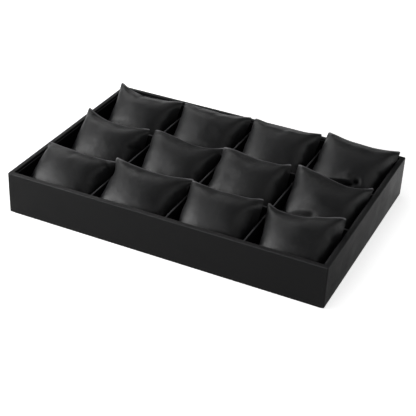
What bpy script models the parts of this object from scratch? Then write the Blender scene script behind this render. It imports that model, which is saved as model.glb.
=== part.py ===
"""Watch display tray: a wrapped, mitred frame with an egg-crate of dividers and twelve pillows.

Metres, +Z up. The origin is the centre of the underside. The long side runs along X,
and the front wall faces -Y.
"""
import math

import bmesh
import bpy
from mathutils import Matrix

# Overall size
TRAY_WIDTH = 0.350              # left to right, outside
TRAY_DEPTH = 0.240              # front to back, outside
TRAY_HEIGHT = 0.047             # underside to rim

# Fits
GLUE_GAP = 0.0003               # between two faces that are glued or rest on each other
SLIP_FIT = 0.0003               # each side of a divider in its slot
MITRE_GAP = 0.0003              # between the mitred ends of two walls

# Wrapped wall boards
WALL_THICKNESS = 0.0055
RIM_RADIUS = 0.0011             # the wrap rounds both top edges
FOOT_RADIUS = 0.0006            # the wrap rounds the bottom outer edge
REBATE_WIDTH = 0.0026           # step in the wall that holds the base board

# Sheets, from the underside up
BASE_LINING_THICKNESS = 0.0008
BASE_LINING_INSET = 0.0015      # the lining stops short of the outer faces
BASE_LINING_CORNER = 0.0030
BASE_BOARD_THICKNESS = 0.0030
FLOOR_PAD_THICKNESS = 0.0012
SHEET_EDGE = 0.0003             # softened edge of a cut sheet

# Lining cards inside the walls
LINER_THICKNESS = 0.0011
LINER_DROP = 0.0020             # from the rim down to the top of the card

# Divider grid
COLUMNS = 4
ROWS = 3
DIVIDER_THICKNESS = 0.0020
DIVIDER_DROP = 0.0072           # from the rim down to the top of the dividers
DIVIDER_EDGE = 0.0006           # the wrap rounds the edges of the card
SLOT_MOUTH = 0.0008             # flare at the open end of a slot
LAP_SHARE = 0.5                 # where the two slots meet, as a share of the height

# Pillows
PILLOW_TILT = math.radians(41.5)
PILLOW_SIDE_GAP = 0.0011        # from a pillow's ears to the dividers beside it
PILLOW_END_GAP = 0.0086         # from a pillow's ears to the dividers before and behind it
PILLOW_THICKNESS = 0.0480
PILLOW_SEAM = 0.0014            # thickness of the seam round the edge
PILLOW_SIDE_WAIST = 0.0022      # how far the left and right sides draw in between the ears
PILLOW_END_WAIST = 0.0042       # how far the top and bottom edges draw in
PILLOW_SAG = 0.16               # the filling settles: thicker low down, thinner at the top
PILLOW_FLAT = 0.0022            # how much of the underside is pressed flat by the floor
PILLOW_CUTS = 4                 # cuts across the cage, each way
PILLOW_SMOOTHING = 1            # subdivision level
PILLOW_FULLNESS = 0.36          # below 1 the crown is blunter

# Mesh detail
ARC_STEPS = 4
BEVEL_ANGLE = math.radians(50)  # edges sharper than this are softened
SMOOTH_ANGLE = math.radians(35)
FLAT_ANGLE = math.radians(0.5)  # faces closer than this are one face
WELD_DISTANCE = 0.000001

# Levels and spaces that follow from the sizes above
INNER_WIDTH = TRAY_WIDTH - 2 * WALL_THICKNESS
INNER_DEPTH = TRAY_DEPTH - 2 * WALL_THICKNESS
WALL_FOOT = BASE_LINING_THICKNESS + GLUE_GAP
BOARD_TOP = WALL_FOOT + BASE_BOARD_THICKNESS
REBATE_TOP = BOARD_TOP + GLUE_GAP
FLOOR_BOTTOM = BOARD_TOP + GLUE_GAP
FLOOR_TOP = FLOOR_BOTTOM + FLOOR_PAD_THICKNESS
SEAT = FLOOR_TOP + GLUE_GAP
LINER_TOP = TRAY_HEIGHT - LINER_DROP
DIVIDER_TOP = TRAY_HEIGHT - DIVIDER_DROP
LINED_WIDTH = INNER_WIDTH - 2 * (LINER_THICKNESS + GLUE_GAP)
LINED_DEPTH = INNER_DEPTH - 2 * (LINER_THICKNESS + GLUE_GAP)
COLUMN_PITCH = (LINED_WIDTH + DIVIDER_THICKNESS) / COLUMNS
ROW_PITCH = (LINED_DEPTH + DIVIDER_THICKNESS) / ROWS
CELL_WIDTH = COLUMN_PITCH - DIVIDER_THICKNESS
CELL_DEPTH = ROW_PITCH - DIVIDER_THICKNESS
SLOT_WIDTH = DIVIDER_THICKNESS + 2 * SLIP_FIT
LAP_HEIGHT = SEAT + (DIVIDER_TOP - SEAT) * LAP_SHARE


def clear_scene():
    for item in list(bpy.data.objects):
        bpy.data.objects.remove(item, do_unlink=True)


def new_collection(name):
    collection = bpy.data.collections.new(name)
    bpy.context.scene.collection.children.link(collection)
    return collection


def finish(name, colour, roughness):
    material = bpy.data.materials.new(name)
    material.use_nodes = True
    shader = material.node_tree.nodes["Principled BSDF"]
    shader.inputs["Base Color"].default_value = (*colour, 1.0)
    shader.inputs["Roughness"].default_value = roughness
    shader.inputs["Metallic"].default_value = 0.0
    material.diffuse_color = (*colour, 1.0)
    return material


def add_part(name, mesh, material, location=(0.0, 0.0, 0.0), turn=0.0):
    """Puts a mesh in the tray's collection as one named piece."""
    part = bpy.data.objects.new(name, mesh)
    part.location = location
    part.rotation_euler = (0.0, 0.0, turn)
    if not mesh.materials:
        mesh.materials.append(material)
    tray.objects.link(part)
    return part


def soften(part, width, segments=2):
    bevel = part.modifiers.new("Softened edges", "BEVEL")
    bevel.width = width
    bevel.segments = segments
    bevel.limit_method = "ANGLE"
    bevel.angle_limit = BEVEL_ANGLE


def arc(centre, radius, start, end):
    """Points of a circular arc, in degrees, both ends included."""
    steps = range(ARC_STEPS + 1)
    angles = [math.radians(start + (end - start) * step / ARC_STEPS) for step in steps]
    return [(centre[0] + radius * math.cos(a), centre[1] + radius * math.sin(a)) for a in angles]


def sheet_mesh(name, outline, thickness):
    """A flat outline in local XY, thickened evenly about its plane, as one closed mesh."""
    curve = bpy.data.curves.new(name, "CURVE")
    curve.dimensions = "2D"
    curve.fill_mode = "BOTH"
    curve.extrude = thickness / 2
    spline = curve.splines.new("POLY")
    spline.points.add(len(outline) - 1)
    for point, (x, y) in zip(spline.points, outline):
        point.co = (x, y, 0.0, 1.0)
    spline.use_cyclic_u = True

    guide = bpy.data.objects.new(name, curve)
    bpy.context.scene.collection.objects.link(guide)
    bpy.context.view_layer.update()
    evaluated = guide.evaluated_get(bpy.context.evaluated_depsgraph_get())
    mesh = bpy.data.meshes.new_from_object(evaluated)
    mesh.name = name
    bpy.data.objects.remove(guide, do_unlink=True)
    bpy.data.curves.remove(curve)

    bm = bmesh.new()
    bm.from_mesh(mesh)
    bmesh.ops.remove_doubles(bm, verts=bm.verts, dist=WELD_DISTANCE)
    bmesh.ops.dissolve_limit(bm, angle_limit=FLAT_ANGLE, verts=bm.verts, edges=bm.edges)
    bmesh.ops.recalc_face_normals(bm, faces=bm.faces)
    bm.to_mesh(mesh)
    bm.free()
    return mesh


def box_mesh(name, low, high):
    """A box between two corners."""
    size = [high[i] - low[i] for i in range(3)]
    centre = [(high[i] + low[i]) / 2 for i in range(3)]
    place = Matrix.Translation(centre) @ Matrix.Diagonal((*size, 1.0))
    bm = bmesh.new()
    bmesh.ops.create_cube(bm, size=1.0, matrix=place)
    mesh = bpy.data.meshes.new(name)
    bm.to_mesh(mesh)
    bm.free()
    return mesh


def wall_section():
    """Section of a wall: x is the depth from its outer face, y is the height."""
    rim = TRAY_HEIGHT
    inner = WALL_THICKNESS
    section = arc((FOOT_RADIUS, WALL_FOOT + FOOT_RADIUS), FOOT_RADIUS, 270, 180)
    section += arc((RIM_RADIUS, rim - RIM_RADIUS), RIM_RADIUS, 180, 90)
    section += arc((inner - RIM_RADIUS, rim - RIM_RADIUS), RIM_RADIUS, 90, 0)
    section += [
        (inner, REBATE_TOP),
        (inner - REBATE_WIDTH, REBATE_TOP),
        (inner - REBATE_WIDTH, WALL_FOOT),
    ]
    return section


def make_wall(name, length, reach, turn, material):
    """A wall of the given outer length, its outer face at the given reach from the centre.

    Each end is a mitre: a point lies further back along the wall by its own depth.
    """
    mesh = sheet_mesh(name, wall_section(), length)
    mitre_shift = MITRE_GAP / math.sqrt(2)
    for vertex in mesh.vertices:
        depth, height, along = vertex.co
        end = length / 2 - depth - mitre_shift
        vertex.co = (math.copysign(end, along), depth - reach, height)

    bm = bmesh.new()
    bm.from_mesh(mesh)
    bmesh.ops.recalc_face_normals(bm, faces=bm.faces)
    bm.to_mesh(mesh)
    bm.free()
    mesh.shade_smooth()
    mesh.set_sharp_from_angle(angle=SMOOTH_ANGLE)
    return add_part(name, mesh, material, turn=turn)


def make_walls(material):
    sides = [
        ("front_wall", TRAY_WIDTH, TRAY_DEPTH / 2),
        ("right_wall", TRAY_DEPTH, TRAY_WIDTH / 2),
        ("back_wall", TRAY_WIDTH, TRAY_DEPTH / 2),
        ("left_wall", TRAY_DEPTH, TRAY_WIDTH / 2),
    ]
    for quarter, (name, length, reach) in enumerate(sides):
        make_wall(name, length, reach, quarter * math.pi / 2, material)


def make_base_lining(material):
    """The cloth sheet glued under the tray, over the joint of walls and base board."""
    half_x = TRAY_WIDTH / 2 - BASE_LINING_INSET - BASE_LINING_CORNER
    half_y = TRAY_DEPTH / 2 - BASE_LINING_INSET - BASE_LINING_CORNER
    outline = []
    for sign_x, sign_y, start in ((1, 1, 0), (-1, 1, 90), (-1, -1, 180), (1, -1, 270)):
        centre = (sign_x * half_x, sign_y * half_y)
        outline += arc(centre, BASE_LINING_CORNER, start, start + 90)
    mesh = sheet_mesh("base_lining", outline, BASE_LINING_THICKNESS)
    return add_part("base_lining", mesh, material, location=(0, 0, BASE_LINING_THICKNESS / 2))


def make_base_board(material):
    """The board in the walls' rebate."""
    half_x = INNER_WIDTH / 2 + REBATE_WIDTH - GLUE_GAP
    half_y = INNER_DEPTH / 2 + REBATE_WIDTH - GLUE_GAP
    mesh = box_mesh("base_board", (-half_x, -half_y, WALL_FOOT), (half_x, half_y, BOARD_TOP))
    part = add_part("base_board", mesh, material)
    soften(part, SHEET_EDGE, 1)


def make_floor_pad(material):
    """The padded sheet under the pillows, cut to the space between the lining cards."""
    half_x = LINED_WIDTH / 2 - GLUE_GAP
    half_y = LINED_DEPTH / 2 - GLUE_GAP
    mesh = box_mesh("floor_pad", (-half_x, -half_y, FLOOR_BOTTOM), (half_x, half_y, FLOOR_TOP))
    part = add_part("floor_pad", mesh, material)
    soften(part, SHEET_EDGE, 1)


def make_liners(material):
    """Four cards: the long ones span the tray, and the side ones fit between them."""
    outer_x = INNER_WIDTH / 2 - GLUE_GAP
    outer_y = INNER_DEPTH / 2 - GLUE_GAP
    side_y = outer_y - LINER_THICKNESS - GLUE_GAP
    cards = [
        ("front_liner", (-outer_x, -outer_y), (outer_x, LINER_THICKNESS - outer_y)),
        ("back_liner", (-outer_x, outer_y - LINER_THICKNESS), (outer_x, outer_y)),
        ("left_liner", (-outer_x, -side_y), (LINER_THICKNESS - outer_x, side_y)),
        ("right_liner", (outer_x - LINER_THICKNESS, -side_y), (outer_x, side_y)),
    ]
    for name, low, high in cards:
        mesh = box_mesh(name, (*low, FLOOR_BOTTOM), (*high, LINER_TOP))
        part = add_part(name, mesh, material)
        soften(part, SHEET_EDGE, 2)


def slot_points(centre, open_end, closed_end):
    """Outline of one slot, in the order that a top edge or a bottom edge meets it."""
    half = SLOT_WIDTH / 2
    if open_end > closed_end:
        half = -half
    flare = math.copysign(SLOT_MOUTH, half)
    mouth = math.copysign(SLOT_MOUTH, closed_end - open_end)
    return [
        (centre - half - flare, open_end),
        (centre - half, open_end + mouth),
        (centre - half, closed_end),
        (centre + half, closed_end),
        (centre + half, open_end + mouth),
        (centre + half + flare, open_end),
    ]


def divider_outline(length, slots, slots_open_up):
    """Side view of a divider: x along its length, y its height, run anticlockwise."""
    end = length / 2
    outline = [(-end, SEAT)]
    if not slots_open_up:
        for centre in slots:
            outline += slot_points(centre, SEAT, LAP_HEIGHT + SLIP_FIT / 2)
    outline += [(end, SEAT), (end, DIVIDER_TOP)]
    if slots_open_up:
        for centre in reversed(slots):
            outline += slot_points(centre, DIVIDER_TOP, LAP_HEIGHT - SLIP_FIT / 2)
    outline.append((-end, DIVIDER_TOP))
    return outline


def grid_places(count, pitch):
    """Centres of the dividers between a number of cells."""
    return [(index - count / 2) * pitch for index in range(1, count)]


def make_divider(name, length, slots, slots_open_up, place, turn, material):
    outline = divider_outline(length, slots, slots_open_up)
    mesh = sheet_mesh(name, outline, DIVIDER_THICKNESS)
    mesh.transform(Matrix.Rotation(math.pi / 2, 4, "X"))
    part = add_part(name, mesh, material, location=place, turn=turn)
    soften(part, DIVIDER_EDGE)
    return part


def make_dividers(material):
    """The half-lapped grid: rows drop from above into slots in the columns."""
    columns = grid_places(COLUMNS, COLUMN_PITCH)
    rows = grid_places(ROWS, ROW_PITCH)
    column_length = LINED_DEPTH - 2 * GLUE_GAP
    row_length = LINED_WIDTH - 2 * GLUE_GAP
    for number, x in enumerate(columns, start=1):
        name = f"column_divider_{number}"
        make_divider(name, column_length, rows, True, (x, 0, 0), math.pi / 2, material)
    for number, y in enumerate(rows, start=1):
        name = f"row_divider_{number}"
        make_divider(name, row_length, columns, False, (0, y, 0), 0.0, material)


def pillow_cage():
    """Coarse cage of a pillow lying flat, its seam creased so that the ears stay pointed."""
    bm = bmesh.new()
    bmesh.ops.create_cube(bm, size=2.0)
    flat_edges = [edge for edge in bm.edges if abs(edge.verts[0].co.z - edge.verts[1].co.z) < 1.0]
    bmesh.ops.subdivide_edges(bm, edges=flat_edges, cuts=PILLOW_CUTS, use_grid_fill=True)

    half_width = CELL_WIDTH / 2 - PILLOW_SIDE_GAP
    half_length = (CELL_DEPTH / 2 - PILLOW_END_GAP) / math.cos(PILLOW_TILT)
    half_seam = PILLOW_SEAM / 2
    for vertex in bm.verts:
        u, v, side = vertex.co
        crown = ((1 - u * u) * (1 - v * v)) ** PILLOW_FULLNESS * (1 - PILLOW_SAG * v)
        x = u * (half_width - PILLOW_SIDE_WAIST * (1 - v * v))
        y = v * (half_length - PILLOW_END_WAIST * (1 - u * u))
        z = side * (half_seam + (PILLOW_THICKNESS / 2 - half_seam) * crown)
        vertex.co = (x, y, z)

    crease = bm.edges.layers.float.new("crease_edge")
    for edge in bm.edges:
        if all(abs(vertex.co.z) < PILLOW_SEAM for vertex in edge.verts):
            edge[crease] = 1.0
    return bm


def plump(bm, name):
    """The smooth mesh that a Subdivision Surface makes of a cage."""
    cage = bpy.data.meshes.new(name)
    bm.to_mesh(cage)
    bm.free()
    guide = bpy.data.objects.new(name, cage)
    bpy.context.scene.collection.objects.link(guide)
    smooth = guide.modifiers.new("Plump", "SUBSURF")
    smooth.levels = PILLOW_SMOOTHING
    smooth.render_levels = PILLOW_SMOOTHING
    bpy.context.view_layer.update()
    evaluated = guide.evaluated_get(bpy.context.evaluated_depsgraph_get())
    mesh = bpy.data.meshes.new_from_object(evaluated)
    mesh.name = name
    bpy.data.objects.remove(guide, do_unlink=True)
    bpy.data.meshes.remove(cage)
    return mesh


def pillow_mesh():
    """A pillow tilted back, lowered on to the floor and pressed flat there."""
    mesh = plump(pillow_cage(), "pillow")
    mesh.transform(Matrix.Rotation(PILLOW_TILT, 4, "X"))
    lowest = min(vertex.co.z for vertex in mesh.vertices)
    lift = SEAT - PILLOW_FLAT - lowest
    for vertex in mesh.vertices:
        vertex.co.z = max(vertex.co.z + lift, SEAT)
    mesh.shade_smooth()
    return mesh


def make_pillows(material):
    """One pillow in each cell. Row 1 is at the front and column 1 at the left."""
    mesh = pillow_mesh()
    for row in range(ROWS):
        y = (row + 0.5 - ROWS / 2) * ROW_PITCH
        for column in range(COLUMNS):
            x = (column + 0.5 - COLUMNS / 2) * COLUMN_PITCH
            add_part(f"pillow_{row + 1}_{column + 1}", mesh, material, location=(x, y, 0))


clear_scene()
tray = new_collection("Watch display tray")

leatherette = finish("Black leatherette", (0.018, 0.018, 0.019), 0.45)
lining_card = finish("Black lining card", (0.012, 0.012, 0.013), 0.70)
grid_card = finish("Wrapped grid card", (0.022, 0.022, 0.024), 0.55)
board = finish("Dark base board", (0.045, 0.038, 0.032), 0.80)
underlay = finish("Black felt", (0.010, 0.010, 0.010), 0.95)
pad_cloth = finish("Black pad cloth", (0.010, 0.010, 0.011), 0.85)
pillow_cloth = finish("Black pillow cloth", (0.022, 0.022, 0.025), 0.50)

make_base_lining(underlay)
make_base_board(board)
make_walls(leatherette)
make_liners(lining_card)
make_floor_pad(pad_cloth)
make_dividers(grid_card)
make_pillows(pillow_cloth)
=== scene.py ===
import math

import bmesh
import bpy
from mathutils import Matrix, Vector, noise


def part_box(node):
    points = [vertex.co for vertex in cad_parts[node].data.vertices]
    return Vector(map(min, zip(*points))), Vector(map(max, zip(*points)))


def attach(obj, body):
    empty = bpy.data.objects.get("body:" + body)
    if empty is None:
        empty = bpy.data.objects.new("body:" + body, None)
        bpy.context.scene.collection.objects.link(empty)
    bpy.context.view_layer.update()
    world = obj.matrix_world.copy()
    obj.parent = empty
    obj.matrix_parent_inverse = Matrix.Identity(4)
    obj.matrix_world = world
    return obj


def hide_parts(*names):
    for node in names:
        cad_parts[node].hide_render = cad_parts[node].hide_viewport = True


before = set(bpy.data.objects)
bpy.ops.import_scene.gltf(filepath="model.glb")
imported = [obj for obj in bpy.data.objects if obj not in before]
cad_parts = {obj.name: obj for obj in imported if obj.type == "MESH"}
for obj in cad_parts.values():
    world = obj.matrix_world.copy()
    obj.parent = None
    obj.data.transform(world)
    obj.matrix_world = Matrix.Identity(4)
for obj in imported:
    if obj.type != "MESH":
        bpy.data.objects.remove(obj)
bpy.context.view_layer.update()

mm = 0.001  # a millimetre, in scene units
scene = bpy.context.scene
noise.seed_set(7)  # or noise_vector would differ from run to run
print("frame loaded:", len(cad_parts), "nodes")


# camera, its values from a fit to the tray's corners in the photo
cameraSetup = {
    "place": (0.40815, -0.90499, 0.60739),  # metres, tray frame
    "azimuth": 24.404,  # degrees, 0 looks along +Y
    "elevation": 31.735,
    "roll": 2.712,
    "lens": 93.70,  # mm on a 36 mm sensor
    "sensor": 36.0,
}


def makeCamera(setup):
    azimuth, elevation, roll = (math.radians(setup[key]) for key in ("azimuth", "elevation", "roll"))
    ahead = Vector((
        -math.sin(azimuth) * math.cos(elevation),
        math.cos(azimuth) * math.cos(elevation),
        -math.sin(elevation),
    ))
    level = Vector((math.cos(azimuth), math.sin(azimuth), 0.0))
    upright = level.cross(ahead)
    right = math.cos(roll) * level + math.sin(roll) * upright
    up = math.cos(roll) * upright - math.sin(roll) * level
    turn = Matrix((right, up, -ahead)).transposed().to_4x4()
    lens = bpy.data.cameras.new("viewCamera")
    lens.lens = setup["lens"]
    lens.sensor_width = setup["sensor"]
    lens.clip_start = 0.01
    camera = bpy.data.objects.new("viewCamera", lens)
    camera.matrix_world = Matrix.Translation(setup["place"]) @ turn
    scene.collection.objects.link(camera)
    scene.camera = camera


# materials
def addNode(tree, kind, place, **inputs):
    node = tree.nodes.new(kind)
    node.location = place
    for name, value in inputs.items():
        node.inputs[name.replace("_", " ")].default_value = value
    return node


grainShape = {
    "driftScale": 420.0,  # of the noise that bends the pebbles' outlines
    "drift": 0.0009,
    "flank": 0.22,  # how far a pebble's rounded side reaches in
    "fineScale": 2600.0,
    "fineShare": 0.35,
}


def makePebbleGroup():
    group = bpy.data.node_groups.new("pebbleGrain", "ShaderNodeTree")
    face = group.interface
    face.new_socket("Place", in_out="INPUT", socket_type="NodeSocketVector")
    face.new_socket("Cells", in_out="INPUT", socket_type="NodeSocketFloat")
    face.new_socket("Height", in_out="OUTPUT", socket_type="NodeSocketFloat")
    face.new_socket("Crevice", in_out="OUTPUT", socket_type="NodeSocketFloat")
    entry = group.nodes.new("NodeGroupInput")
    leave = group.nodes.new("NodeGroupOutput")
    link = group.links.new

    drift = addNode(group, "ShaderNodeTexNoise", (-600, -200), Scale=grainShape["driftScale"], Detail=2.0)
    link(entry.outputs["Place"], drift.inputs["Vector"])
    spread = group.nodes.new("ShaderNodeVectorMath")
    spread.operation = "MULTIPLY_ADD"
    spread.inputs[1].default_value = (grainShape["drift"],) * 3
    link(drift.outputs["Color"], spread.inputs[0])
    link(entry.outputs["Place"], spread.inputs[2])
    cells = group.nodes.new("ShaderNodeTexVoronoi")
    cells.feature = "DISTANCE_TO_EDGE"
    link(spread.outputs[0], cells.inputs["Vector"])
    link(entry.outputs["Cells"], cells.inputs["Scale"])
    rise = addNode(group, "ShaderNodeMapRange", (-200, 0))
    rise.interpolation_type = "SMOOTHSTEP"
    rise.inputs["From Max"].default_value = grainShape["flank"]
    link(cells.outputs["Distance"], rise.inputs["Value"])
    fine = addNode(group, "ShaderNodeTexNoise", (-400, 200), Scale=grainShape["fineScale"], Detail=3.0)
    fine.inputs["Roughness"].default_value = 0.6
    link(entry.outputs["Place"], fine.inputs["Vector"])
    mixer = group.nodes.new("ShaderNodeMath")
    mixer.operation = "MULTIPLY_ADD"
    mixer.inputs[1].default_value = grainShape["fineShare"]
    link(fine.outputs["Fac"], mixer.inputs[0])
    link(rise.outputs["Result"], mixer.inputs[2])
    link(mixer.outputs[0], leave.inputs["Height"])
    flip = group.nodes.new("ShaderNodeMath")
    flip.operation = "SUBTRACT"
    flip.inputs[0].default_value = 1.0
    link(rise.outputs["Result"], flip.inputs[1])
    link(flip.outputs[0], leave.inputs["Crevice"])
    return group


cloudRange = (0.3, 0.7)  # the noise values that are spread from low to high


def makeCloudGroup():
    group = bpy.data.node_groups.new("softCloud", "ShaderNodeTree")
    face = group.interface
    face.new_socket("Place", in_out="INPUT", socket_type="NodeSocketVector")
    face.new_socket("Scale", in_out="INPUT", socket_type="NodeSocketFloat")
    face.new_socket("Low", in_out="INPUT", socket_type="NodeSocketFloat")
    face.new_socket("High", in_out="INPUT", socket_type="NodeSocketFloat")
    face.new_socket("Value", in_out="OUTPUT", socket_type="NodeSocketFloat")
    entry = group.nodes.new("NodeGroupInput")
    leave = group.nodes.new("NodeGroupOutput")
    cloud = addNode(group, "ShaderNodeTexNoise", (-300, 0), Detail=4.0, Roughness=0.55)
    group.links.new(entry.outputs["Place"], cloud.inputs["Vector"])
    group.links.new(entry.outputs["Scale"], cloud.inputs["Scale"])
    spread = addNode(group, "ShaderNodeMapRange", (0, 0))
    spread.inputs["From Min"].default_value, spread.inputs["From Max"].default_value = cloudRange
    group.links.new(cloud.outputs["Fac"], spread.inputs["Value"])
    group.links.new(entry.outputs["Low"], spread.inputs["To Min"])
    group.links.new(entry.outputs["High"], spread.inputs["To Max"])
    group.links.new(spread.outputs["Result"], leave.inputs["Value"])
    return group


wrapLook = {
    "paintedHighlight": (0.0200, 0.0200, 0.0210),  # painted highlight where the wrap runs over the rim
    "highlightFrom": (0.0, 1.0),  # edge marks at which that tone starts and is full
    "deep": (0.0020, 0.0020, 0.0023),  # colour between the grain's pebbles
    "top": (0.0031, 0.0031, 0.0034),
    "grainCells": 1500.0,  # per metre, so about 0.7 mm each
    "grainDepth": 0.00003,
    "rough": (0.35, 0.46),
    "roughScale": 60.0,
    "specular": 0.21,
    "waveDepth": 0.00012,  # slow unevenness of the glued wrap
    "waveScale": 26.0,
}

pillowLook = {
    "paintedHighlight": (0.120, 0.120, 0.125),  # painted highlight along the sewn top edge
    "highlightFrom": (0.965, 0.985),
    "deep": (0.0050, 0.0051, 0.0056),
    "top": (0.0076, 0.0077, 0.0084),
    "grainCells": 2100.0,
    "grainDepth": 0.00002,
    "crease": (0.0004, 0.0004, 0.0004),  # painted shade: the colour a deep fold is painted
    "rough": (0.40, 0.48),
    "roughScale": 60.0,
    "specular": 0.50,
    "waveDepth": 0.00035,
    "waveScale": 48.0,
}

liningLook = dict(
    wrapLook, top=(0.0025, 0.0025, 0.0028), paintedHighlight=(0.040, 0.040, 0.042),
    rough=(0.6, 0.7), specular=0.07, waveDepth=0.00008,
)

gridLook = dict(wrapLook, paintedHighlight=(0.050, 0.050, 0.053), rough=(0.5, 0.6))


def makeEdgeGroup():
    # painted highlight: the cover is painted paler over the rim, along the cards' top edges, and along a
    # pillow's sewn top edge
    group = bpy.data.node_groups.new("edgeTone", "ShaderNodeTree")
    face = group.interface
    for name in ("Colour", "Tone"):
        face.new_socket(name, in_out="INPUT", socket_type="NodeSocketColor")
    for name in ("Amount", "Start", "Full"):
        face.new_socket(name, in_out="INPUT", socket_type="NodeSocketFloat")
    face.new_socket("Colour", in_out="OUTPUT", socket_type="NodeSocketColor")
    entry = group.nodes.new("NodeGroupInput")
    mask = addNode(group, "ShaderNodeMapRange", (0, 0))
    mask.interpolation_type = "SMOOTHSTEP"
    group.links.new(entry.outputs["Amount"], mask.inputs["Value"])
    group.links.new(entry.outputs["Start"], mask.inputs["From Min"])
    group.links.new(entry.outputs["Full"], mask.inputs["From Max"])
    blend = group.nodes.new("ShaderNodeMix")
    blend.data_type = "RGBA"
    group.links.new(mask.outputs["Result"], blend.inputs["Factor"])
    group.links.new(entry.outputs["Colour"], blend.inputs["A"])
    group.links.new(entry.outputs["Tone"], blend.inputs["B"])
    leave = group.nodes.new("NodeGroupOutput")
    group.links.new(blend.outputs["Result"], leave.inputs["Colour"])
    return group


def addEdgeTone(tree, colour, look):
    edge = tree.nodes.new("ShaderNodeGroup")
    edge.node_tree = edgeGroup
    edge.inputs["Tone"].default_value = (*look["paintedHighlight"], 1.0)
    edge.inputs["Start"].default_value, edge.inputs["Full"].default_value = look["highlightFrom"]
    spot = tree.nodes.new("ShaderNodeAttribute")
    spot.attribute_name = "edgeTone"
    tree.links.new(spot.outputs["Fac"], edge.inputs["Amount"])
    tree.links.new(colour, edge.inputs["Colour"])
    return edge.outputs["Colour"]


def addPaintedFoldShade(tree, look, colour, gloss, metal):
    # painted shade: a deep fold is painted black and dull, as little light gets into it;
    # the mask in Metallic takes its shine away, as a black metal has none
    fold = tree.nodes.new("ShaderNodeAttribute")
    fold.attribute_name = "foldShade"
    dark = tree.nodes.new("ShaderNodeMix")
    dark.data_type = "RGBA"
    dark.inputs["B"].default_value = (*look["crease"], 1.0)
    tree.links.new(colour, dark.inputs["A"])
    dull = tree.nodes.new("ShaderNodeMix")
    dull.inputs["B"].default_value = 1.0
    tree.links.new(gloss, dull.inputs["A"])
    for socket in (dark.inputs["Factor"], dull.inputs["Factor"], metal):
        tree.links.new(fold.outputs["Fac"], socket)
    return dark.outputs["Result"], dull.outputs["Result"]


def makeLeather(name, look):
    material = bpy.data.materials.new(name)
    material.use_nodes = True
    tree = material.node_tree
    shader = tree.nodes["Principled BSDF"]
    shader.inputs["Specular IOR Level"].default_value = look["specular"]
    place = tree.nodes.new("ShaderNodeTexCoord").outputs["Object"]

    grain = tree.nodes.new("ShaderNodeGroup")
    grain.node_tree = pebbleGroup
    grain.inputs["Cells"].default_value = look["grainCells"]
    tree.links.new(place, grain.inputs["Place"])
    tone = tree.nodes.new("ShaderNodeMix")
    tone.data_type = "RGBA"
    tone.inputs["A"].default_value = (*look["top"], 1.0)
    tone.inputs["B"].default_value = (*look["deep"], 1.0)
    tree.links.new(grain.outputs["Crevice"], tone.inputs["Factor"])
    colour = addEdgeTone(tree, tone.outputs["Result"], look)

    gloss = tree.nodes.new("ShaderNodeGroup")
    gloss.node_tree = cloudGroup
    gloss.inputs["Scale"].default_value = look["roughScale"]
    gloss.inputs["Low"].default_value, gloss.inputs["High"].default_value = look["rough"]
    tree.links.new(place, gloss.inputs["Place"])
    dullness = gloss.outputs["Value"]
    if "crease" in look:
        colour, dullness = addPaintedFoldShade(tree, look, colour, dullness, shader.inputs["Metallic"])
    tree.links.new(colour, shader.inputs["Base Color"])
    tree.links.new(dullness, shader.inputs["Roughness"])

    wave = tree.nodes.new("ShaderNodeGroup")
    wave.node_tree = cloudGroup
    wave.inputs["Scale"].default_value = look["waveScale"]
    wave.inputs["Low"].default_value = 0.0
    wave.inputs["High"].default_value = 1.0
    tree.links.new(place, wave.inputs["Place"])
    slow = addNode(tree, "ShaderNodeBump", (-400, -400), Distance=look["waveDepth"], Strength=1.0)
    tree.links.new(wave.outputs["Value"], slow.inputs["Height"])
    fine = addNode(tree, "ShaderNodeBump", (-200, -400), Distance=look["grainDepth"], Strength=1.0)
    tree.links.new(grain.outputs["Height"], fine.inputs["Height"])
    tree.links.new(slow.outputs["Normal"], fine.inputs["Normal"])
    tree.links.new(fine.outputs["Normal"], shader.inputs["Normal"])
    return material


feltLook = {
    "low": (0.004, 0.004, 0.004),
    "high": (0.016, 0.016, 0.017),
    "fibreScale": 1800.0,
    "fibreDepth": 0.00025,
    "rough": 0.95,
    "specular": 0.12,
    "sheen": 0.3,
}

suedeLook = dict(
    feltLook, low=(0.005, 0.005, 0.006), high=(0.014, 0.014, 0.016),
    fibreScale=2600.0, fibreDepth=0.00012,
)

boardLook = dict(feltLook, low=(0.03, 0.026, 0.022), high=(0.06, 0.05, 0.042))


def makeFibrous(name, look):
    material = bpy.data.materials.new(name)
    material.use_nodes = True
    tree = material.node_tree
    shader = tree.nodes["Principled BSDF"]
    shader.inputs["Roughness"].default_value = look["rough"]
    shader.inputs["Specular IOR Level"].default_value = look["specular"]
    shader.inputs["Sheen Weight"].default_value = look["sheen"]
    place = tree.nodes.new("ShaderNodeTexCoord").outputs["Object"]
    fibre = addNode(tree, "ShaderNodeTexNoise", (-500, 0), Scale=look["fibreScale"], Detail=5.0)
    fibre.inputs["Distortion"].default_value = 1.2
    tree.links.new(place, fibre.inputs["Vector"])
    tone = tree.nodes.new("ShaderNodeMix")
    tone.data_type = "RGBA"
    tone.inputs["A"].default_value = (*look["low"], 1.0)
    tone.inputs["B"].default_value = (*look["high"], 1.0)
    tree.links.new(fibre.outputs["Fac"], tone.inputs["Factor"])
    tree.links.new(tone.outputs["Result"], shader.inputs["Base Color"])
    nap = addNode(tree, "ShaderNodeBump", (-200, -300), Distance=look["fibreDepth"])
    tree.links.new(fibre.outputs["Fac"], nap.inputs["Height"])
    tree.links.new(nap.outputs["Normal"], shader.inputs["Normal"])
    return material


pebbleGroup = makePebbleGroup()
cloudGroup = makeCloudGroup()
edgeGroup = makeEdgeGroup()
wrapLeather = makeLeather("wrapLeather", wrapLook)
liningLeather = makeLeather("liningLeather", liningLook)
gridLeather = makeLeather("gridLeather", gridLook)
pillowLeather = makeLeather("pillowLeather", pillowLook)
baseFelt = makeFibrous("baseFelt", feltLook)
padSuede = makeFibrous("padSuede", suedeLook)
hardBoard = makeFibrous("hardBoard", boardLook)
print("materials made")


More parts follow.
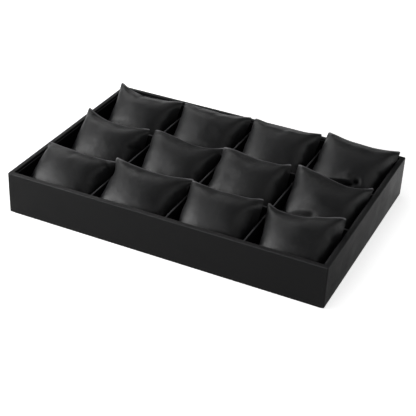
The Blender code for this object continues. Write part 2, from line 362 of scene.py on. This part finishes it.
# helpers for the pieces
def blockBetween(bm, low, high):
    size = [high[axis] - low[axis] for axis in range(3)]
    centre = [(high[axis] + low[axis]) / 2 for axis in range(3)]
    place = Matrix.Translation(centre) @ Matrix.Diagonal((*size, 1.0))
    return bmesh.ops.create_cube(bm, size=1.0, matrix=place)["verts"]


def bevelEdges(bm, edges, offset, segments, clamp=True):
    bmesh.ops.bevel(
        bm, geom=list(edges), offset=offset, offset_type="OFFSET", segments=segments,
        profile=0.5, affect="EDGES", material=-1, clamp_overlap=clamp,
    )


sharpFrom = 40  # degrees between faces


def finishPiece(bm, name, material, nodes):
    mesh = bpy.data.meshes.new(name)
    bm.to_mesh(mesh)
    bm.free()
    piece = bpy.data.objects.new(name, mesh)
    scene.collection.objects.link(piece)
    mesh.materials.append(material)
    mesh.shade_smooth()
    mesh.set_sharp_from_angle(angle=math.radians(sharpFrom))
    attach(piece, "root")
    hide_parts(*nodes)
    return piece


def along(edge, axis):
    run = edge.verts[1].co - edge.verts[0].co
    return abs(run[axis]) > 0.999 * run.length


def isBorder(edge, level):
    if any(abs(vert.co.z - level) > 1e-6 for vert in edge.verts):
        return False
    flats = [abs(face.normal.z) > 0.9 for face in edge.link_faces]
    return any(flats) and not all(flats)


def markEdgeHighlight(bm, level, amount):
    # marks how much painted highlight the cover gets above a level
    highlightMark = bm.verts.layers.float.new("edgeTone")
    for vert in bm.verts:
        if vert.co.z > level:
            vert[highlightMark] = amount
    return highlightMark


# wrapped frame: one strip of leatherette runs round all four boards
frameShape = {
    "wall": 5.5 * mm,
    "cornerRadius": 1.5 * mm,
    "rimRadius": 1.1 * mm,
    "footRadius": 0.6 * mm,
    "innerRadius": 0.5 * mm,
    "highlightZone": 0.7,  # of the rim's radius
    "highlightTop": 0.45,  # how strong the rim's painted highlight is; in front and at the right its outer edge gets it in full
    "highlightFar": 0.3,  # how much of that is left behind and at the left
}


def makeWrappedFrame(shape):
    low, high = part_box("front_wall")[0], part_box("back_wall")[1]
    left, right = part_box("left_wall")[0].x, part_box("right_wall")[1].x
    bm = bmesh.new()
    blockBetween(bm, (left, low.y, low.z), (right, high.y, high.z))
    for up in (1, -1):
        cap = [face for face in bm.faces if face.normal.z * up > 0.9]
        bmesh.ops.inset_region(bm, faces=cap, thickness=shape["wall"], use_even_offset=True)
    middle = [face for face in bm.faces if face.calc_area() > 0.05]  # the two that are cut away
    loops = [edge for face in middle for edge in face.edges]
    bmesh.ops.delete(bm, geom=middle, context="FACES_ONLY")
    bmesh.ops.bridge_loops(bm, edges=loops)
    bmesh.ops.recalc_face_normals(bm, faces=bm.faces)

    uprights = [edge for edge in bm.edges if along(edge, 2)]
    outer = [edge for edge in uprights if abs(edge.verts[0].co.x) > right - mm]
    inner = [edge for edge in uprights if abs(edge.verts[0].co.x) < right - mm]
    bevelEdges(bm, outer, shape["cornerRadius"], 5)
    bevelEdges(bm, inner, shape["innerRadius"], 2)
    rim = [edge for edge in bm.edges if isBorder(edge, high.z)]
    bevelEdges(bm, rim, shape["rimRadius"], 4, clamp=False)
    foot = [edge for edge in bm.edges if isBorder(edge, low.z)]
    bevelEdges(bm, foot, shape["footRadius"], 3, clamp=False)
    edgeZone = shape["highlightZone"] * shape["rimRadius"]
    # painted highlight: the rim's top is marked to be painted paler, fully at its outer edge in front and
    # at the right, less behind and at the left
    highlightMark = markEdgeHighlight(bm, high.z - edgeZone, shape["highlightTop"])
    for vert in bm.verts:
        near = min(vert.co.y - low.y, right - vert.co.x)
        if vert[highlightMark] and near < edgeZone:
            vert[highlightMark] = 1.0
            continue
        far = min(vert.co.x - left, high.y - vert.co.y)
        if far < shape["wall"] + edgeZone and near > shape["wall"]:
            vert[highlightMark] *= shape["highlightFar"]
    finishPiece(
        bm, "wrappedFrame", wrapLeather,
        ["front_wall", "back_wall", "left_wall", "right_wall"],
    )


# lining cards, dividers and floor, each a wrapped card with rounded edges
cardShape = {
    "linerEdge": 0.45 * mm,
    "padEdge": 0.5 * mm,
    "feltCorner": 3.0 * mm,
    "paintedHighlight": 0.4 * mm,  # depth of the painted highlight along the top edge
}


def makeLiner(side):
    node = side + "_liner"
    low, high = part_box(node)
    bm = bmesh.new()
    blockBetween(bm, low, high)
    longAxis = 0 if high.x - low.x > high.y - low.y else 1
    top = [edge for edge in bm.edges if along(edge, longAxis) and edge.verts[0].co.z > high.z - mm]
    bevelEdges(bm, top, cardShape["linerEdge"], 3)
    # painted highlight along the card's top edge
    markEdgeHighlight(bm, high.z - cardShape["paintedHighlight"], 1.0)
    finishPiece(bm, side + "LiningCard", liningLeather, [node])


def makeDivider(node, name):
    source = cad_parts[node]
    bm = bmesh.new()
    bm.from_mesh(source.data)
    bmesh.ops.remove_doubles(bm, verts=bm.verts, dist=1e-6)
    # painted highlight along the divider's top edge
    markEdgeHighlight(bm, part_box(node)[1].z - cardShape["paintedHighlight"], 1.0)
    finishPiece(bm, name, gridLeather, [node])


def makeFloorPad():
    low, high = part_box("floor_pad")
    bm = bmesh.new()
    blockBetween(bm, low, high)
    bevelEdges(bm, [edge for edge in bm.edges if not along(edge, 2)], cardShape["padEdge"], 2)
    piece = finishPiece(bm, "floorPad", padSuede, ["floor_pad"])


def makeBaseFelt():
    low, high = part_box("base_lining")
    bm = bmesh.new()
    blockBetween(bm, low, high)
    bevelEdges(bm, [edge for edge in bm.edges if along(edge, 2)], cardShape["feltCorner"], 5)
    piece = finishPiece(bm, "baseFelt", baseFelt, ["base_lining"])


# pillows: two panels sewn edge to edge over the filling, then laid in their cells
pillowCut = {
    "across": 40,  # faces along the width of a panel
    "down": 36,
    "width": 80.4 * mm,
    "length": 75.0 * mm,
    "thickness": 47.0 * mm,
    "sideWaist": 1.0 * mm,  # how far the middle of a side seam draws in
    "endWaist": 4.0 * mm,
    "fullness": (0.30, 0.46),  # blunter at the foot than at the top
    "sag": 0.16,  # how far the filling has slumped down
    "square": 0.15,  # how steep its sides stand at the top
    "squareFoot": 0.55,  # and how much steeper at the foot
    "lumps": 2.2 * mm,
    "lumpScale": 1.5,
    "seamWander": 0.7 * mm,
    "wanderScale": 2.2,
}

pillowCloth = {
    "enlarged": 20.0,  # the cloth solver works at this scale
    "spare": 0.05,  # how much larger the cover is than the filling
    "pressure": 3.0,
    "frames": 18,
    "tension": 15.0,
    "compression": 5.0,
    "shear": 4.0,
    "bending": 1.5,
    "damping": 4.0,
    "quality": 5,
    "mostTravel": 5 * mm,
    "smoothing": 4,  # rounds of smoothing for the puckers by the seams
}

pillowRest = {
    "tilt": 41.5,
    "side": 0.4 * mm,  # how far it may bulge past its solid
    "overhang": 4.0 * mm,  # and how much further an ear above the rim
    "seamEdge": 0.4 * mm,
    "seamLip": 1.2 * mm,  # how far the sewn edge stands out
    "earsFrom": -0.2,  # where on the panel the ears begin to lift it
    "earsOver": 1.2,
    "footFrom": 0.8,  # and where the drawn foot begins
    "footOver": 1.2,
}

# how each pillow differs from the plain shape, in mm: its left ear, the rise of its top edge at the
# thirds, its right ear, and how far each side of its foot is drawn over; 98 of the 120 values come
# from a fit to the pillows' outlines in the photo, and 22 were changed after it
pillowEars = {
    (1, 1): ((-1.6, -2.9, 0.4), (1.5, 0.2), (-0.5, -3.1, -2.0), (-2.5, -1.5)),
    (1, 2): ((-2.2, -4.0, 4.2), (1.9, -0.5), (1.5, 3.6, -1.4), (-2.5, -1.5)),
    (1, 3): ((-0.6, -1.6, 0.2), (2.5, 2.8), (-2.5, -4.0, 3.2), (2.5, -1.5)),
    (1, 4): ((-0.4, -1.0, -0.1), (-2.9, 4.0), (-2.5, -1.2, 6.0), (6.2, -1.5)),
    (2, 1): ((-0.2, 1.6, 6.0), (0.5, 0.6), (-2.2, -4.0, 2.3), (1.1, -1.5)),
    (2, 2): ((1.4, -2.0, 2.5), (2.5, -1.8), (0.5, 1.4, 0.1), (4.1, -1.5)),
    (2, 3): ((-0.8, -1.0, 2.4), (5.0, 3.2), (-4.6, -4.0, 4.6), (-2.5, -1.5)),
    (2, 4): ((0.4, -1.6, 5.9), (4.1, -1.4), (0.9, -0.4, 0.7), (-0.4, -1.5)),
    (3, 1): ((-1.2, 0.1, 7.0), (0.9, 1.5), (-1.5, -2.6, 3.4), (2.6, -1.5)),
    (3, 2): ((0.0, -4.0, 2.2), (4.2, 2.8), (-0.2, 1.1, 2.8), (1.5, -1.5)),
    (3, 3): ((2.2, -0.2, 4.2), (5.0, 5.0), (-0.7, 0.4, 4.9), (1.7, -1.5)),
    (3, 4): ((2.4, 6.5, 5.6), (5.4, 4.3), (2.5, 6.0, 3.9), (-1.7, -1.5)),
}

# folds in the front panels: where each starts and ends on the panel, then its width and its depth
# in mm (a depth below 0 is a ridge)
pillowFolds = {
    (1, 1): [(1.00, 0.60, 0.74, 0.90, 3.4, 1.8), (0.10, 0.50, 0.32, 0.10, 10.0, 0.9)],
    (2, 1): [
        (0.97, 0.33, 0.74, 0.20, 3.4, 2.3), (0.74, 0.22, 0.86, 0.06, 4.0, 0.7),
        (-0.74, 0.93, -0.42, 0.90, 2.2, 1.0), (-0.30, 0.50, -0.20, 0.10, 9.0, 0.8),
    ],
    (3, 1): [
        (-0.27, 1.00, -0.15, 0.72, 3.0, 1.5), (0.95, 0.95, 0.60, 0.60, 4.5, 0.9),
        (-0.38, -0.31, 0.08, -0.19, 2.6, 0.35),
    ],
    (1, 2): [(0.95, 0.80, 0.72, 0.45, 4.5, 1.2), (0.85, -0.05, 0.68, -0.40, 5.5, 1.2)],
    (2, 2): [(0.96, 0.90, 0.66, 0.55, 4.0, 1.1), (-0.90, 0.90, -0.60, 0.60, 4.5, 0.7)],
    (3, 2): [(0.97, 0.80, 0.75, 0.45, 4.5, 1.1), (0.10, 0.98, 0.20, 0.75, 3.5, 0.8)],
    (1, 3): [(0.98, 0.92, 0.70, 0.80, 3.5, 1.2), (0.80, 0.30, 0.70, -0.15, 6.0, 0.9)],
    (2, 3): [(0.97, 0.88, 0.72, 0.62, 4.0, 1.1), (-0.92, 0.92, -0.70, 0.55, 4.5, 0.7)],
    (3, 3): [(0.96, 0.86, 0.70, 0.70, 4.0, 1.0), (0.30, 0.96, 0.40, 0.72, 4.0, 0.7)],
    (1, 4): [
        (-0.92, 0.92, -0.40, 0.84, 4.0, -0.8), (-0.50, 0.55, -0.32, -0.20, 9.0, -1.0),
        (-0.02, 0.45, 0.00, -0.30, 10.0, -1.2), (0.80, 0.66, 0.64, -0.10, 7.0, -0.7),
    ],
    (2, 4): [(-0.07, -0.42, -0.44, -0.52, 3.2, 1.7), (0.74, 0.40, 0.58, -0.10, 9.0, -1.0)],
    (3, 4): [
        (0.34, -0.27, 0.32, -0.14, 3.4, 2.7), (0.22, -0.40, -0.20, -0.45, 2.4, 3.0),
        (0.14, -0.16, 0.02, -0.28, 4.6, -1.8), (-0.80, 0.75, -0.40, 0.20, 10.0, 0.7),
    ],
}

foldShape = {
    "fade": 0.6,  # how much shallower a fold is where it ends
    "ridge": 0.3,  # height of the soft ridge beside it, as a share of its depth
    "ridgeAway": 1.7,  # in widths of the fold
    "ridgeWidth": 0.8,
    "paintedShadeFrom": 0.6 * mm,  # depth at which a fold starts to get its painted shade
    "paintedShadeOver": 2.0 * mm,
}


def foldDepth(folds, u, v):
    # how far the folds press a place of the panel in
    shape = foldShape
    total = 0.0
    half = Vector((pillowCut["width"] / 2, pillowCut["length"] / 2))
    for u0, v0, u1, v1, width, depth in folds:
        start = Vector((u0, v0)) * half
        run = Vector((u1, v1)) * half - start
        way = Vector((u, v)) * half - start
        ahead = way.dot(run) / run.length
        beyond = max(-ahead, ahead - run.length, 0.0) / (width * mm)
        beside = abs(way.cross(run)) / run.length / (width * mm)
        fade = 1.0 - shape["fade"] * min(max(ahead / run.length, 0.0), 1.0)
        press = math.exp(-beside * beside)
        press -= shape["ridge"] * math.exp(-((beside - shape["ridgeAway"]) / shape["ridgeWidth"]) ** 2)
        total += depth * mm * fade * press * math.exp(-beyond * beyond)
    return total


def onSeam(spot):
    return max(abs(spot[0]), abs(spot[1])) > 0.999


def panelPoint(u, v, side, seed):
    # where a place of a panel starts, before it is blown up
    cut = pillowCut
    inside = max((1 - u * u) * (1 - v * v), 0.0)
    lump = noise.noise(Vector((u, v, side * 0.6)) * cut["lumpScale"] + seed)
    wander = noise.noise_vector(Vector((u, v, 4.0)) * cut["wanderScale"] + seed) * cut["seamWander"]
    foot, top = cut["fullness"]
    blunt = foot + (top - foot) * (1 + v) / 2
    rise = cut["thickness"] / 2 * inside ** blunt * (1 - cut["sag"] * v)
    rise += cut["lumps"] * lump * min(inside * 4, 1.0)
    square = cut["square"] + cut["squareFoot"] * (1 - v) / 2
    across = u * (1 - square) + math.sin(math.pi / 2 * u) * square
    flat = Vector((
        across * (cut["width"] / 2 - cut["sideWaist"] * (1 - v * v)),
        v * (cut["length"] / 2 - cut["endWaist"] * (1 - u * u)),
        side * rise,
    ))
    return (flat + wander) * pillowCloth["enlarged"]


def sewPanels(row, column):
    # front panel and back panel, which share the points of the seam
    across, down = pillowCut["across"], pillowCut["down"]
    # a seed of its own, so that no two pillows have the same lumps
    seed = Vector((row * 5.3, column * 7.9, row * 1.7 - column * 2.3))
    points, spots, faces, numbers = [], [], [], {}
    for side in (1, -1):
        for j in range(down + 1):
            for i in range(across + 1):
                if side < 0 and (i in (0, across) or j in (0, down)):
                    numbers[side, i, j] = numbers[1, i, j]
                    continue
                numbers[side, i, j] = len(points)
                u, v = 2 * i / across - 1, 2 * j / down - 1
                points.append(panelPoint(u, v, side, seed))
                spots.append((u, v, side))
        for j in range(down):
            for i in range(across):
                corners = [numbers[side, i + di, j + dj] for di, dj in ((0, 0), (1, 0), (1, 1), (0, 1))]
                faces.append(corners[::side])
    mesh = bpy.data.meshes.new(f"pillow{row}{column}")
    mesh.from_pydata(points, [], faces)
    places = mesh.attributes.new("panelSpot", "FLOAT_VECTOR", "POINT")
    places.data.foreach_set("vector", [value for spot in spots for value in spot])
    # painted highlight: each point's height on the panel, so that the sewn top edge is painted paler
    highlightMark = mesh.attributes.new("edgeTone", "FLOAT", "POINT")
    highlightMark.data.foreach_set("value", [spot[1] for spot in spots])
    piece = bpy.data.objects.new(mesh.name, mesh)
    scene.collection.objects.link(piece)
    return piece


def addCloth(piece):
    seam = piece.vertex_groups.new(name="seam")
    spots = piece.data.attributes["panelSpot"].data
    border = [index for index, spot in enumerate(spots) if onSeam(spot.vector)]
    seam.add(border, 1.0, "REPLACE")
    cloth = piece.modifiers.new("Stuffing", "CLOTH")
    settings = cloth.settings
    settings.vertex_group_mass = seam.name
    settings.shrink_min = -pillowCloth["spare"]
    settings.use_pressure = True
    settings.uniform_pressure_force = pillowCloth["pressure"]
    settings.tension_stiffness = pillowCloth["tension"]
    settings.compression_stiffness = pillowCloth["compression"]
    settings.shear_stiffness = pillowCloth["shear"]
    settings.bending_stiffness = pillowCloth["bending"]
    settings.quality = pillowCloth["quality"]
    settings.air_damping = pillowCloth["damping"]
    settings.effector_weights.gravity = 0.0
    cloth.collision_settings.use_collision = False
    cloth.point_cache.frame_start = 1
    cloth.point_cache.frame_end = pillowCloth["frames"]


def applyCloth(piece):
    starts = [vert.co.copy() for vert in piece.data.vertices]
    graph = bpy.context.evaluated_depsgraph_get()
    mesh = bpy.data.meshes.new_from_object(piece.evaluated_get(graph))
    old = piece.data
    piece.modifiers.clear()
    smoothPuckers(mesh)
    piece.data = mesh
    bpy.data.meshes.remove(old)
    most = pillowCloth["mostTravel"] * pillowCloth["enlarged"]
    for vert, start in zip(mesh.vertices, starts):
        travel = vert.co - start
        if travel.length > most:
            vert.co = start + travel * (most / travel.length)


def smoothPuckers(mesh):
    bm = bmesh.new()
    bm.from_mesh(mesh)
    spots = bm.verts.layers.float_vector["panelSpot"]
    loose = [vert for vert in bm.verts if not onSeam(vert[spots])]
    for step in range(pillowCloth["smoothing"]):
        bmesh.ops.smooth_vert(
            bm, verts=loose, factor=0.5, use_axis_x=True, use_axis_y=True, use_axis_z=True,
        )
    bm.to_mesh(mesh)
    bm.free()


def inflateAll(pieces):
    for piece in pieces:
        addCloth(piece)
    for step in range(1, pillowCloth["frames"] + 1):
        scene.frame_set(step)
    for piece in pieces:
        applyCloth(piece)
    scene.frame_set(1)


def curveThrough(points, u):
    # smooth curve through four values at u = -1, -1/3, 1/3 and 1
    knots = (-1.0, -1 / 3, 1 / 3, 1.0)
    total = 0.0
    for knot, point in zip(knots, points):
        share = 1.0
        for other in knots:
            if other != knot:
                share *= (u - other) / (knot - other)
        total += share * point
    return total


def layPillow(piece, row, column):
    rest = pillowRest
    mesh = piece.data
    mesh.transform(Matrix.Scale(1 / pillowCloth["enlarged"], 4))
    mesh.attributes.new("foldShade", "FLOAT", "POINT")
    spots, shades = mesh.attributes["panelSpot"].data, mesh.attributes["foldShade"].data
    for vert, spot, shade in zip(mesh.vertices, spots, shades):
        u, v, face = spot.vector
        if face > 0:
            depth = foldDepth(pillowFolds[(row, column)], u, v)
            vert.co.z -= depth
            # painted shade: the deeper a fold, the darker it is painted
            shade.value = min(max((depth - foldShape["paintedShadeFrom"]) / foldShape["paintedShadeOver"], 0.0), 1.0)
        if onSeam((u, 0.0)):
            vert.co.x += math.copysign(rest["seamLip"], u)
        if onSeam((0.0, v)):
            vert.co.y += math.copysign(rest["seamLip"], v)
    mesh.transform(Matrix.Rotation(math.radians(rest["tilt"]), 4, "X"))
    low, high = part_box(f"pillow_{row}_{column}")
    middle = (low + high) / 2
    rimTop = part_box("front_wall")[1].z
    lift = high.z - max(vert.co.z for vert in mesh.vertices)
    leftEar, thirds, rightEar, feet = pillowEars[(row, column)]
    rises = (leftEar[2], *thirds, rightEar[2])
    for vert, spot in zip(mesh.vertices, spots):
        u, v = spot.vector[0], spot.vector[1]
        upper = mm * max(0.0, (v - rest["earsFrom"]) / rest["earsOver"]) ** 2
        lower = mm * min(1.0, max(0.0, (rest["footFrom"] - v) / rest["footOver"]))
        vert.co.x += (feet[0] * (1 - u) + feet[1] * (1 + u)) / 2 * lower
        vert.co.x += middle.x + curveThrough((leftEar[0], 0.0, 0.0, rightEar[0]), u) * upper
        vert.co.y += middle.y + (leftEar[1] * (1 - u) + rightEar[1] * (1 + u)) / 2 * upper
        vert.co.z += lift + curveThrough(rises, u) * upper
        vert.co.z = max(vert.co.z, low.z)
        reach = rest["side"]
        if vert.co.z > rimTop:
            reach += min(vert.co.z - rimTop, rest["overhang"])
        vert.co.x = min(max(vert.co.x, low.x - reach), high.x + reach)


def finishPillow(piece, row, column):
    mesh = piece.data
    bm = bmesh.new()
    bm.from_mesh(mesh)
    spots = bm.verts.layers.float_vector["panelSpot"]
    seam = [edge for edge in bm.edges if all(onSeam(vert[spots]) for vert in edge.verts)]
    bevelEdges(bm, seam, pillowRest["seamEdge"], 2)
    bm.to_mesh(mesh)
    bm.free()
    mesh.materials.append(pillowLeather)
    mesh.shade_smooth()
    plump = piece.modifiers.new("Smooth", "SUBSURF")
    plump.levels = 1
    plump.render_levels = 1
    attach(piece, "root")
    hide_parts(f"pillow_{row}_{column}")


def makePillows():
    cells = [(row, column) for row in (1, 2, 3) for column in (1, 2, 3, 4)]
    pieces = [sewPanels(row, column) for row, column in cells]
    inflateAll(pieces)
    for piece, (row, column) in zip(pieces, cells):
        layPillow(piece, row, column)
        finishPillow(piece, row, column)


# floor, light and background
studio = {
    "floorSize": 8.0,
    "floorDrop": 0.1 * mm,
    "floorColor": 0.90,
    "floorRough": 0.9,
    "floorSpecular": 0.1,
    "floorGlow": 0.70,  # extra white of the floor, for the camera
    "farGlow": 0.84,  # the same past the shadow at the right
    "fadeFrom": 0.178,  # metres along X
    "fadeTo": 0.198,
    "floorShine": 0.47,  # and for reflections, growing from front to back
    "shineFrom": -0.12,  # metres along Y
    "shineTo": 0.28,
    "zenith": 0.02,  # brightness of the room overhead
    "horizon": 0.135,  # and of its white walls
    "wallTop": 0.70,  # sine of the elevation where the walls end
    "sideShare": 1.0,  # the left is brighter by this share, and the right darker
    "lampAway": 1.9,  # metres from the tray
    "lampSize": 0.9,
    # softboxes: degrees clockwise from behind the tray, degrees up, watts; set from what a fit to the
    # photo's brightness gave
    "lamps": {
        "keySoftbox": (240.0, 20.0, 29.0),
        "frontSoftbox": (192.0, 20.0, 8.0),
        "cornerSoftbox": (150.0, 20.0, 4.5),
        "sideSoftbox": (90.0, 46.0, 2.2),
        "farSoftbox": (60.0, 20.0, 3.2),
        "leftSoftbox": (268.0, 46.0, 5.0),
        "fillSoftbox": (225.0, 48.0, 0.9),
        "backSoftbox": (316.0, 32.0, 3.8),
        "highSoftbox": (0.0, 60.0, 1.6),
    },
}


def makeFloor():
    bm = bmesh.new()
    bmesh.ops.create_grid(bm, x_segments=1, y_segments=1, size=studio["floorSize"] / 2)
    mesh = bpy.data.meshes.new("studioFloor")
    bm.to_mesh(mesh)
    bm.free()
    floor = bpy.data.objects.new("studioFloor", mesh)
    floor.location.z = -studio["floorDrop"]
    scene.collection.objects.link(floor)
    material = bpy.data.materials.new("paleFloor")
    material.use_nodes = True
    tree = material.node_tree
    shader = tree.nodes["Principled BSDF"]
    tone = studio["floorColor"]
    shader.inputs["Base Color"].default_value = (tone, tone, tone, 1.0)
    shader.inputs["Roughness"].default_value = studio["floorRough"]
    shader.inputs["Specular IOR Level"].default_value = studio["floorSpecular"]
    shader.inputs["Emission Color"].default_value = (1.0, 1.0, 1.0, 1.0)
    place = tree.nodes.new("ShaderNodeTexCoord")
    parts = tree.nodes.new("ShaderNodeSeparateXYZ")
    tree.links.new(place.outputs["Object"], parts.inputs[0])
    grow = addNode(tree, "ShaderNodeMapRange", (0, 0))
    grow.inputs["From Min"].default_value = studio["shineFrom"]
    grow.inputs["From Max"].default_value = studio["shineTo"]
    grow.inputs["To Max"].default_value = studio["floorShine"]
    tree.links.new(parts.outputs["Y"], grow.inputs["Value"])
    rays = tree.nodes.new("ShaderNodeLightPath")
    shine = tree.nodes.new("ShaderNodeMath")
    shine.operation = "MULTIPLY"
    tree.links.new(grow.outputs["Result"], shine.inputs[1])
    tree.links.new(rays.outputs["Is Glossy Ray"], shine.inputs[0])
    glow = tree.nodes.new("ShaderNodeMath")
    glow.operation = "MULTIPLY_ADD"
    fade = addNode(tree, "ShaderNodeMapRange", (0, -300))
    fade.inputs["From Min"].default_value = studio["fadeFrom"]
    fade.inputs["From Max"].default_value = studio["fadeTo"]
    fade.inputs["To Min"].default_value = studio["floorGlow"]
    fade.inputs["To Max"].default_value = studio["farGlow"]
    tree.links.new(parts.outputs["X"], fade.inputs["Value"])
    tree.links.new(fade.outputs["Result"], glow.inputs[1])
    tree.links.new(rays.outputs["Is Camera Ray"], glow.inputs[0])
    tree.links.new(shine.outputs[0], glow.inputs[2])
    tree.links.new(glow.outputs[0], shader.inputs["Emission Strength"])
    mesh.materials.append(material)


def makeLamp(name, turn, rise, power):
    lamp = bpy.data.lights.new(name, "AREA")
    lamp.shape = "SQUARE"
    lamp.size = studio["lampSize"]
    lamp.energy = power
    thing = bpy.data.objects.new(name, lamp)
    turn, rise = math.radians(turn), math.radians(rise)
    way = Vector((math.sin(turn) * math.cos(rise), math.cos(turn) * math.cos(rise), math.sin(rise)))
    thing.location = way * studio["lampAway"]
    thing.rotation_euler = (-way).to_track_quat("-Z", "Y").to_euler()
    scene.collection.objects.link(thing)


def makeWorld():
    # white walls round the set, dimmer overhead and to the right, and plain white for the camera
    world = bpy.data.worlds.new("softStudio")
    scene.world = world
    world.use_nodes = True
    tree = world.node_tree
    background = tree.nodes["Background"]
    background.inputs["Color"].default_value = (1.0, 1.0, 1.0, 1.0)
    way = tree.nodes.new("ShaderNodeTexCoord")
    parts = tree.nodes.new("ShaderNodeSeparateXYZ")
    tree.links.new(way.outputs["Generated"], parts.inputs[0])
    wall = addNode(tree, "ShaderNodeMapRange", (0, 0))
    wall.interpolation_type = "SMOOTHSTEP"
    wall.inputs["From Max"].default_value = studio["wallTop"]
    wall.inputs["To Min"].default_value = studio["horizon"]
    wall.inputs["To Max"].default_value = studio["zenith"]
    tree.links.new(parts.outputs["Z"], wall.inputs["Value"])
    side = addNode(tree, "ShaderNodeMapRange", (0, -200))
    side.inputs["From Min"].default_value = -1.0
    side.inputs["To Min"].default_value = 1.0 + studio["sideShare"]
    side.inputs["To Max"].default_value = 1.0 - studio["sideShare"]
    tree.links.new(parts.outputs["X"], side.inputs["Value"])
    room = tree.nodes.new("ShaderNodeMath")
    room.operation = "MULTIPLY"
    tree.links.new(wall.outputs["Result"], room.inputs[0])
    tree.links.new(side.outputs["Result"], room.inputs[1])
    strength = addNode(tree, "ShaderNodeMapRange", (200, 0))
    strength.inputs["To Max"].default_value = 1.0
    tree.links.new(room.outputs[0], strength.inputs["To Min"])
    rays = tree.nodes.new("ShaderNodeLightPath")
    tree.links.new(rays.outputs["Is Camera Ray"], strength.inputs["Value"])
    tree.links.new(strength.outputs["Result"], background.inputs["Strength"])


makeCamera(cameraSetup)
scene.view_settings.view_transform = "Standard"
makeFloor()
for name, setup in studio["lamps"].items():
    makeLamp(name, *setup)
makeWorld()
print("studio made")

makeWrappedFrame(frameShape)
for side in ("front", "back", "left", "right"):
    makeLiner(side)
for number in (1, 2, 3):
    makeDivider(f"column_divider_{number}", f"columnDivider{number}")
for number in (1, 2):
    makeDivider(f"row_divider_{number}", f"rowDivider{number}")
makeFloorPad()
makeBaseFelt()
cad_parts["base_board"].data.materials.clear()
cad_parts["base_board"].data.materials.append(hardBoard)
print("tray made")

makePillows()
print("pillows made")
